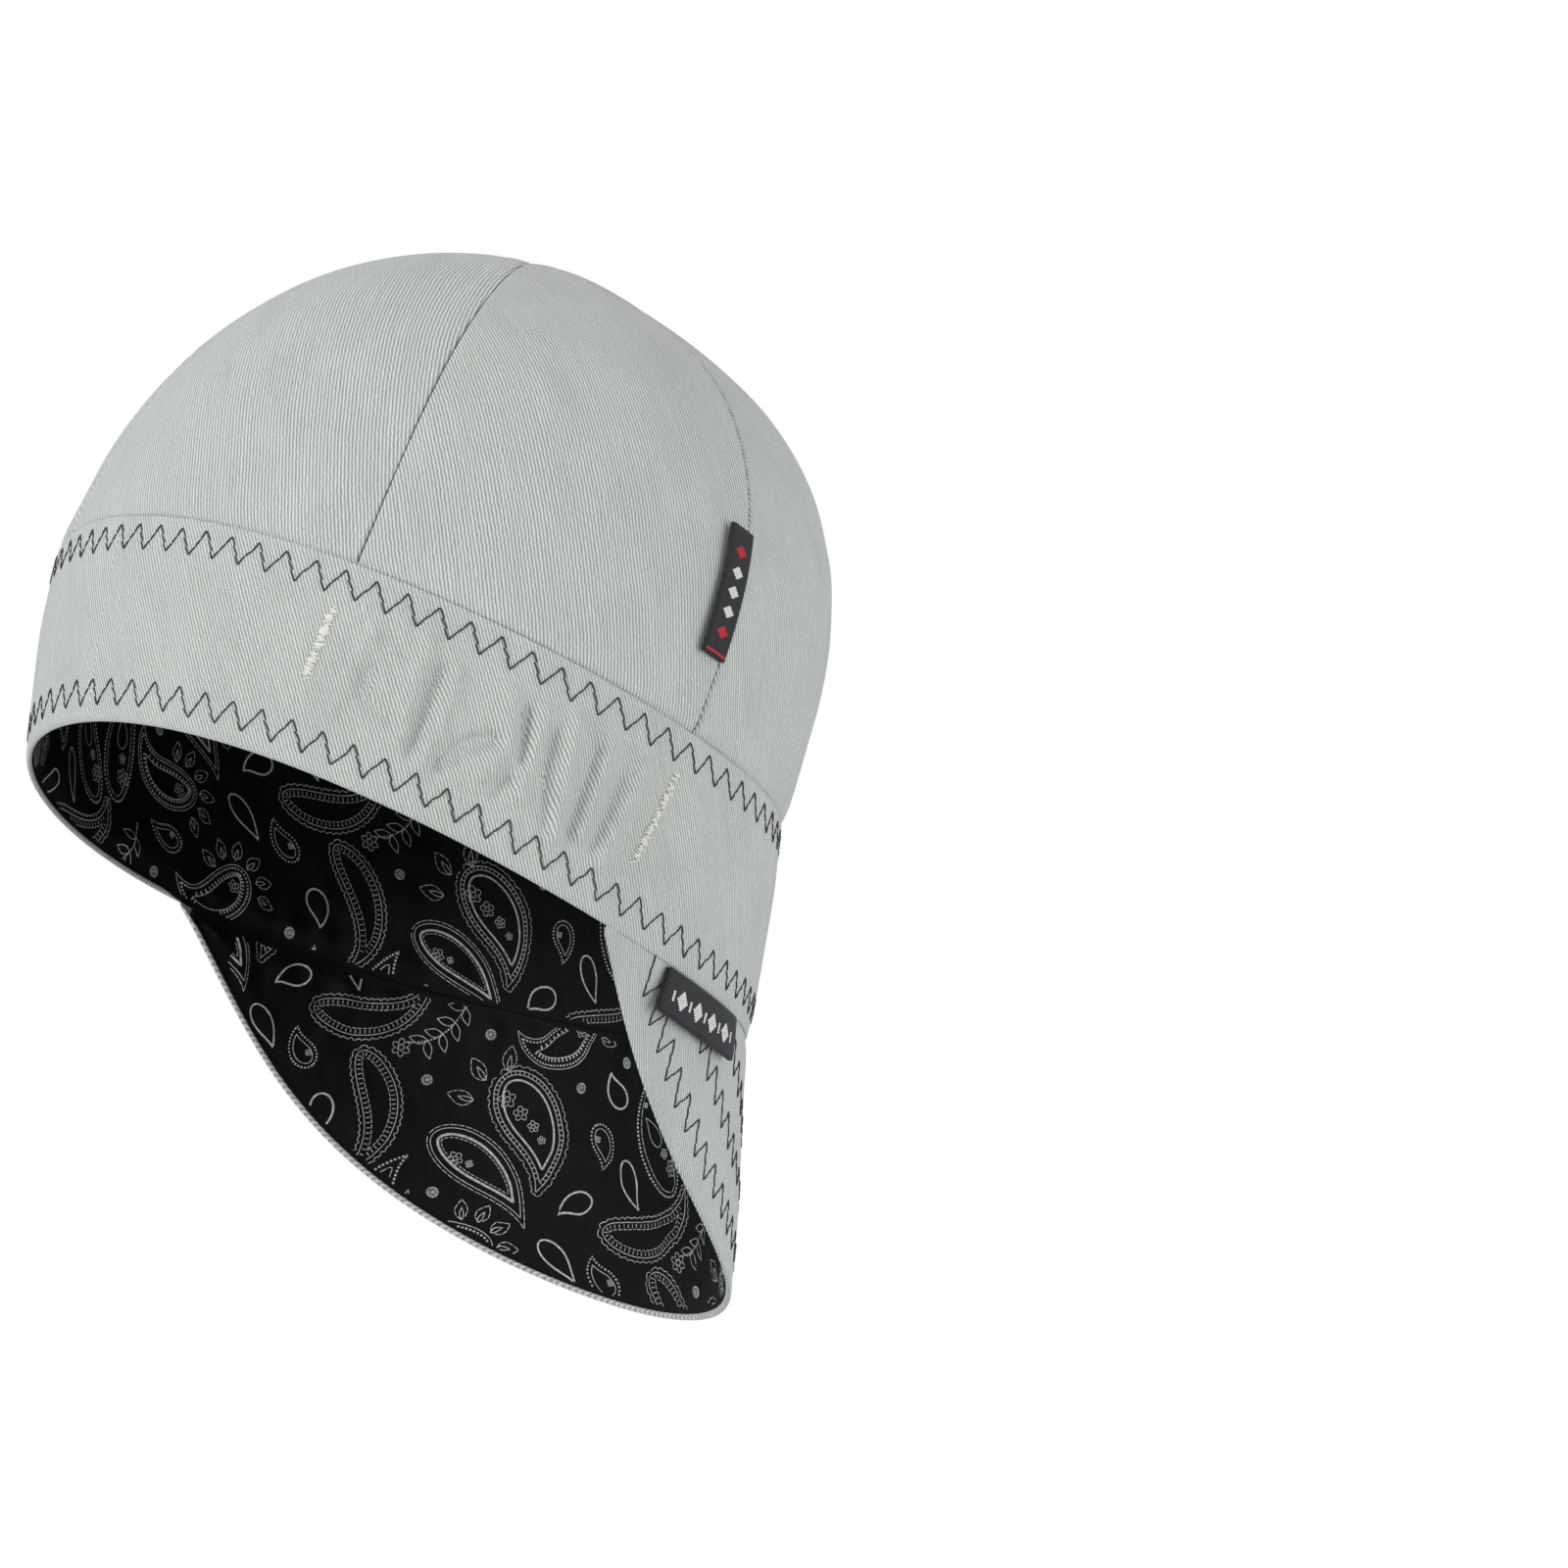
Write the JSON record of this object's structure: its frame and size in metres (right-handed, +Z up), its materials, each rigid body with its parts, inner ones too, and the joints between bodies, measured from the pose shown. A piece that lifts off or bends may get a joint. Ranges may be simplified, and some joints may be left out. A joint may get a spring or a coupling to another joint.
{
  "type": "welding cap",
  "caption": "Soft round welding cap with a panelled crown, a sewn band gathered by elastic, a short flexible bill and a printed lining.",
  "frame": {"origin": "middle of the head opening, in the plane of the rim, where the cap sits on a head", "axes": "+Z up through the crown, -Y towards the bill at the front, +X towards the wearer's left"},
  "size_m": [0.2104, 0.241, 0.2349],
  "materials": {
    "grey_twill": "light warm grey cotton twill, matt, with fine ribs and dark zigzag topstitching",
    "printed_lining": "near-black cotton twill with a traditional paisley line print in grey white",
    "woven_ribbon": "black woven ribbon with plain red and pale woven bars"
  },
  "bodies": {
    "root": {"crown_panel_1": "grey_twill", "crown_panel_2": "grey_twill", "crown_panel_3": "grey_twill", "crown_panel_4": "grey_twill", "crown_panel_5": "grey_twill", "crown_panel_6": "grey_twill", "crown_lining_1": "printed_lining", "crown_lining_2": "printed_lining", "crown_lining_3": "printed_lining", "crown_lining_4": "printed_lining", "crown_lining_5": "printed_lining", "crown_lining_6": "printed_lining", "band": "grey_twill", "band_lining": "printed_lining", "bill": "grey_twill", "bill_lining": "printed_lining", "side_tab": "woven_ribbon", "bill_tab": "woven_ribbon"}
  },
  "joints": []
}
